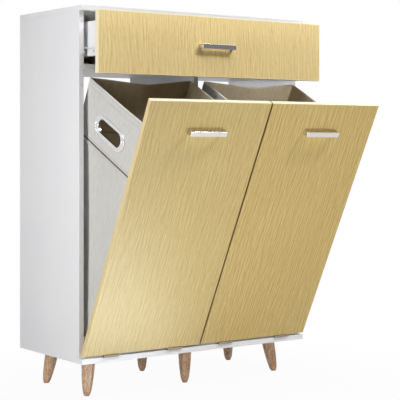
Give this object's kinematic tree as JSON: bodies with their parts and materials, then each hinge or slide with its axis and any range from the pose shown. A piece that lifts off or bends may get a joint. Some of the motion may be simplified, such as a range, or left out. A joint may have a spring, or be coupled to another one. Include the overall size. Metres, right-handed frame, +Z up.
{
  "type": "laundry hamper cabinet",
  "caption": "Floor cabinet of white board on turned legs, with a drawer on roller runners above tilt-out doors that each carry a box-shaped linen hamper.",
  "frame": {"origin": "on the floor, under the middle of the box around the cabinet as stored, doors and drawer open", "axes": "+X to the right as seen from the front, +Y to the back, +Z up"},
  "size_m": [0.64, 0.5714, 0.883],
  "materials": {
    "white_board": "white melamine board",
    "white_hardboard": "white faced",
    "oak_board": "pale oak effect",
    "leg_wood": "clear varnish",
    "chrome": "polished plate",
    "zinc_steel": "zinc plated",
    "white_steel": "white epoxy coat",
    "white_nylon": "moulded",
    "linen": "woven linen",
    "stiffener": "sheet",
    "beech": "fluted dowel",
    "clear_rubber": "soft pads"
  },
  "bodies": {
    "cabinet": {"bottom_panel": "white_board", "cabinet_screws": "zinc_steel", "cam_bolts": "zinc_steel", "cam_locks": "zinc_steel", "carcass_dowels": "beech", "centre_partition": "white_board", "drawer_shelf": "white_board", "front_bumpers": "clear_rubber", "front_roller_axles": "zinc_steel", "hinge_fixed_leaves": "zinc_steel", "hinge_pins": "zinc_steel", "left_cabinet_rail": "white_steel", "left_side_panel": "white_board", "leg_back_centre": "leg_wood", "leg_back_left": "leg_wood", "leg_back_right": "leg_wood", "leg_front_centre": "leg_wood", "leg_front_left": "leg_wood", "leg_front_right": "leg_wood", "leg_plates": "zinc_steel", "leg_studs": "zinc_steel", "right_cabinet_rail": "white_steel", "right_side_panel": "white_board", "tilt_stop_pegs": "zinc_steel", "top_panel": "white_board", "upper_back_panel": "white_board"},
    "drawer": {"drawer_front": "oak_board", "drawer_left_side": "white_board", "drawer_right_side": "white_board", "drawer_back": "white_board", "drawer_bottom": "white_hardboard", "drawer_handle": "chrome", "drawer_screws": "zinc_steel", "drawer_dowels": "beech", "left_drawer_rail": "white_steel", "right_drawer_rail": "white_steel", "rear_roller_axles": "zinc_steel"},
    "left_door": {"left_door_panel": "oak_board", "left_door_handle": "chrome", "left_door_screws": "zinc_steel", "left_hinge_leaves": "zinc_steel", "left_base_board": "white_board", "left_base_brackets": "zinc_steel", "left_hamper_bag": "linen", "left_bag_insert": "stiffener", "left_bag_grommets": "chrome"},
    "right_door": {"right_door_panel": "oak_board", "right_door_handle": "chrome", "right_door_screws": "zinc_steel", "right_hinge_leaves": "zinc_steel", "right_base_board": "white_board", "right_base_brackets": "zinc_steel", "right_hamper_bag": "linen", "right_bag_insert": "stiffener", "right_bag_grommets": "chrome"},
    "left_front_roller_body": {"left_front_roller": "white_nylon"},
    "right_front_roller_body": {"right_front_roller": "white_nylon"},
    "left_rear_roller_body": {"left_rear_roller": "white_nylon"},
    "right_rear_roller_body": {"right_rear_roller": "white_nylon"}
  },
  "joints": [
    {"name": "left_door_tilt", "type": "hinge", "parent": "cabinet", "child": "left_door", "pos_m": [-0.16025, -0.0131, 0.09665], "axis": [1, 0, 0], "range_deg": [-26, 0]},
    {"name": "right_door_tilt", "type": "hinge", "parent": "cabinet", "child": "right_door", "pos_m": [0.16025, -0.0131, 0.09665], "axis": [1, 0, 0], "range_deg": [-26, 0]},
    {"name": "drawer_slide", "type": "slide", "parent": "cabinet", "child": "drawer", "axis": [0, -1, 0], "range_m": [-0.065, 0.12]},
    {"name": "left_front_roller_turn", "type": "hinge", "parent": "cabinet", "child": "left_front_roller_body", "pos_m": [-0.30175, 0.0177, 0.7795], "axis": [1, 0, 0], "range_deg": [-565, 1043]},
    {"name": "left_rear_roller_turn", "type": "hinge", "parent": "drawer", "child": "left_rear_roller_body", "pos_m": [-0.30175, 0.1767, 0.7795], "axis": [1, 0, 0], "range_deg": [-565, 1043]},
    {"name": "right_front_roller_turn", "type": "hinge", "parent": "cabinet", "child": "right_front_roller_body", "pos_m": [0.30175, 0.0177, 0.7795], "axis": [1, 0, 0], "range_deg": [-565, 1043]},
    {"name": "right_rear_roller_turn", "type": "hinge", "parent": "drawer", "child": "right_rear_roller_body", "pos_m": [0.30175, 0.1767, 0.7795], "axis": [1, 0, 0], "range_deg": [-565, 1043]}
  ],
  "couplings": [
    {"joint": "left_front_roller_turn", "follows": "drawer_slide", "rad_per_m": 151.52},
    {"joint": "left_rear_roller_turn", "follows": "drawer_slide", "rad_per_m": 151.52},
    {"joint": "right_front_roller_turn", "follows": "drawer_slide", "rad_per_m": 151.52},
    {"joint": "right_rear_roller_turn", "follows": "drawer_slide", "rad_per_m": 151.52}
  ]
}
